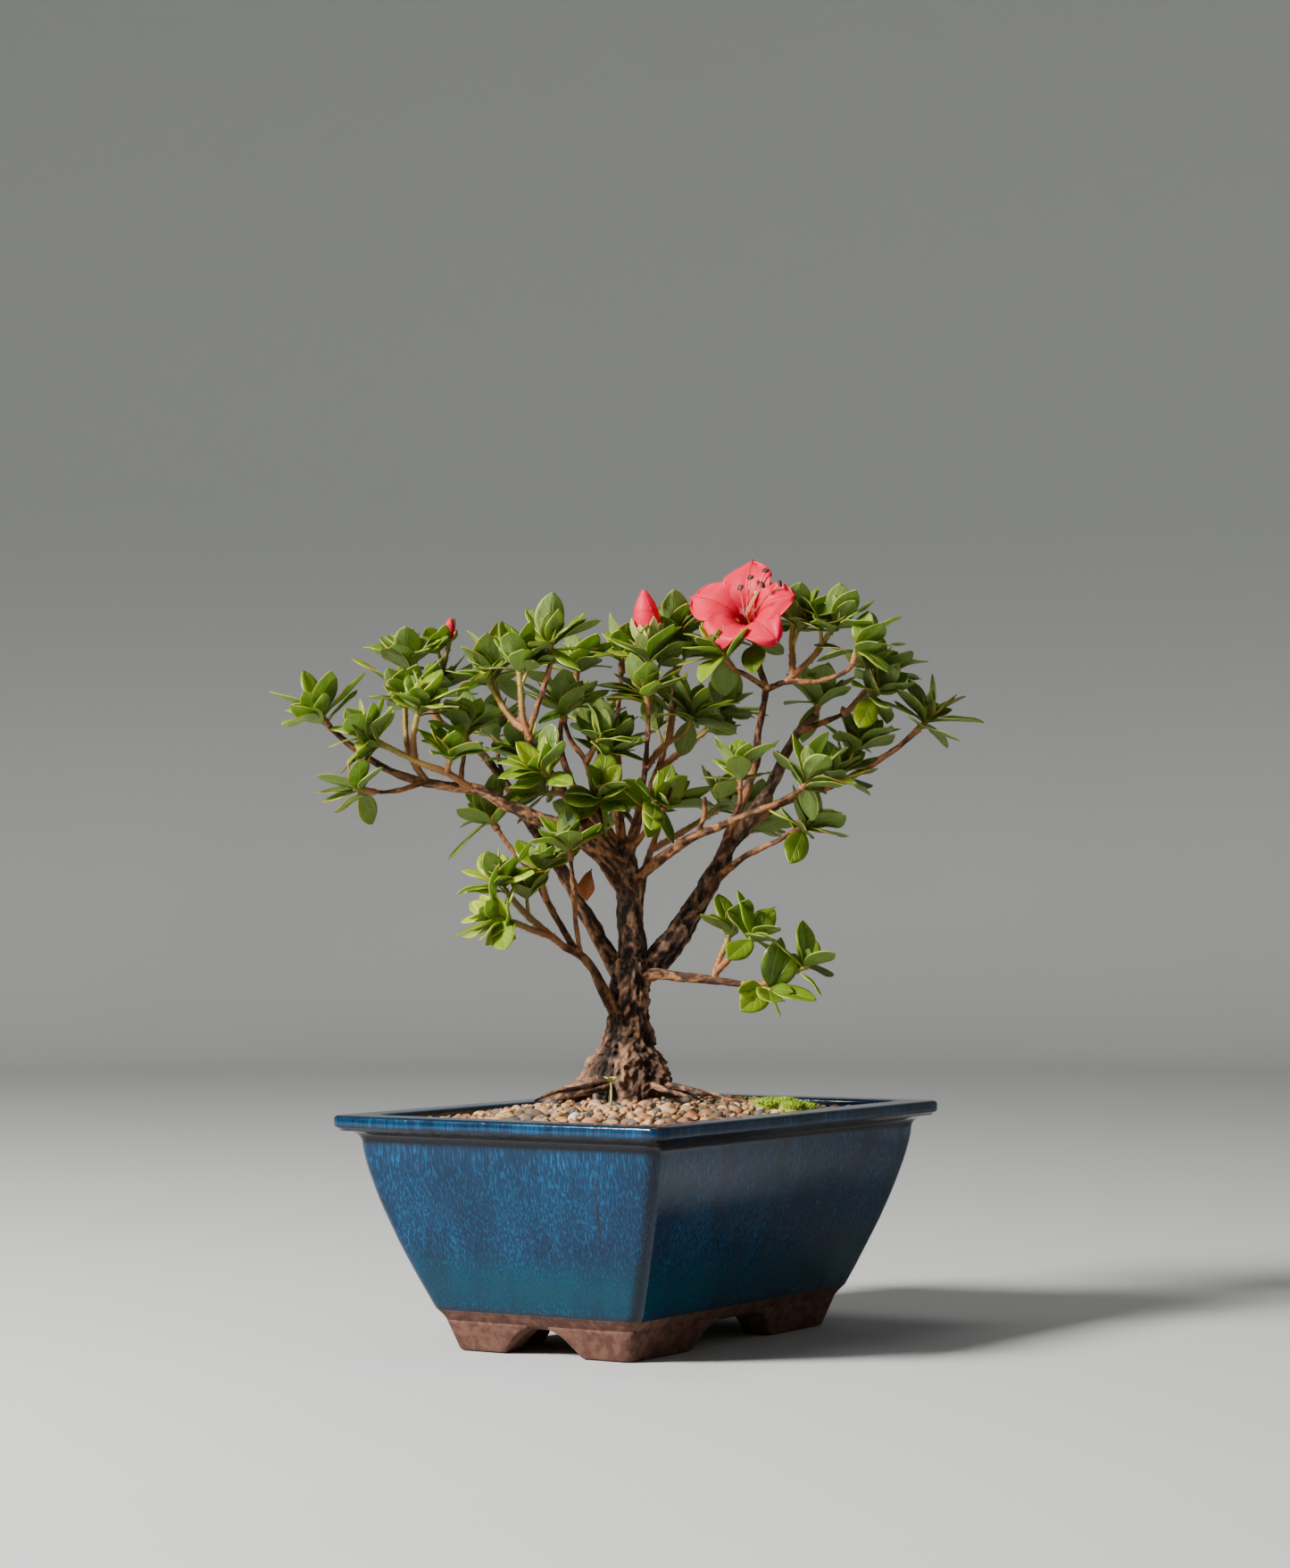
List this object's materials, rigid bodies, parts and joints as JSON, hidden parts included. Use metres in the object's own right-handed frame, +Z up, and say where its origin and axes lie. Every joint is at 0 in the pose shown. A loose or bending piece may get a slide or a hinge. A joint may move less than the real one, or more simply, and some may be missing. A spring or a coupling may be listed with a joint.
{
  "type": "bonsai tree in a pot",
  "caption": "small flowering broadleaf bonsai with a spreading crown, rooted in gravel-dressed soil in a glazed rectangular pot on corner feet",
  "frame": {"origin": "under the middle of the whole object's box, on the surface that the feet stand on", "axes": "+X along the pot's long side, +Y along its short side, +Z up; the tree's front is turned about 58 degrees from -Y towards -X"},
  "size_m": [0.224, 0.2332, 0.3117],
  "materials": {
    "glaze": "glossy streaked blue glaze over a bare red-brown clay foot band",
    "bark": "rough flaky grey-brown bark, orange-brown on the twigs",
    "leaf": "semi-glossy veined green leaves with paler undersides, on orange-brown young stems",
    "petal": "satin coral-red petals, deeper in the throat",
    "filament": "smooth pink threads with dark anthers",
    "young_green": "soft pale green growth",
    "bud_scale": "downy yellow-green scales",
    "gravel": "rounded mixed tan, cream, orange and grey pebbles",
    "soil": "dark crumbly granular soil",
    "moss": "bright short moss",
    "screen_plastic": "black moulded net",
    "wire": "dull annealed training wire"
  },
  "bodies": {
    "root": {"pot": "glaze", "drain_screen_left": "screen_plastic", "drain_screen_right": "screen_plastic", "screen_clip_left": "wire", "screen_clip_right": "wire", "potting_soil": "soil", "gravel_top_dressing": "gravel", "moss_patch": "moss", "seedling": "young_green", "trunk_and_branches": "bark", "flower_corolla": "petal", "flower_stamens": "filament", "flower_pistil": "young_green", "flower_calyx": "young_green", "centre_bud": "petal", "centre_bud_scales": "bud_scale", "left_bud": "petal", "shoot_left_end": "leaf", "shoot_left_inner": "leaf", "shoot_left_low": "leaf", "shoot_left_upper": "leaf", "shoot_left_top": "leaf", "shoot_left_fork": "leaf", "shoot_back_left": "leaf", "shoot_back_left_inner": "leaf", "shoot_low_left": "leaf", "shoot_low_left_upright": "leaf", "shoot_low_left_bright": "leaf", "shoot_low_left_inner": "leaf", "shoot_centre_left": "leaf", "shoot_crown_left": "leaf", "shoot_crown_left_back": "leaf", "shoot_centre_fork": "leaf", "shoot_centre_side": "leaf", "shoot_centre_low_left": "leaf", "shoot_centre_low_back": "leaf", "shoot_centre_low": "leaf", "shoot_centre_upright": "leaf", "shoot_centre_low_right": "leaf", "shoot_crown_centre_back": "leaf", "shoot_crown_centre": "leaf", "shoot_centre_right": "leaf", "shoot_right_crown_left": "leaf", "shoot_flower_base": "leaf", "shoot_right_front": "leaf", "shoot_right_front_inner": "leaf", "shoot_right_front_low": "leaf", "shoot_right_back": "leaf", "shoot_far_right": "leaf", "shoot_right_side": "leaf", "shoot_right_upper": "leaf", "shoot_right_main": "leaf", "shoot_flower_side": "leaf", "shoot_flower_right": "leaf", "shoot_low_right": "leaf", "shoot_low_right_upright": "leaf", "shoot_back_centre": "leaf", "shoot_back_low_left": "leaf", "shoot_back_upper": "leaf", "shoot_back_upper_left": "leaf"}
  },
  "joints": []
}
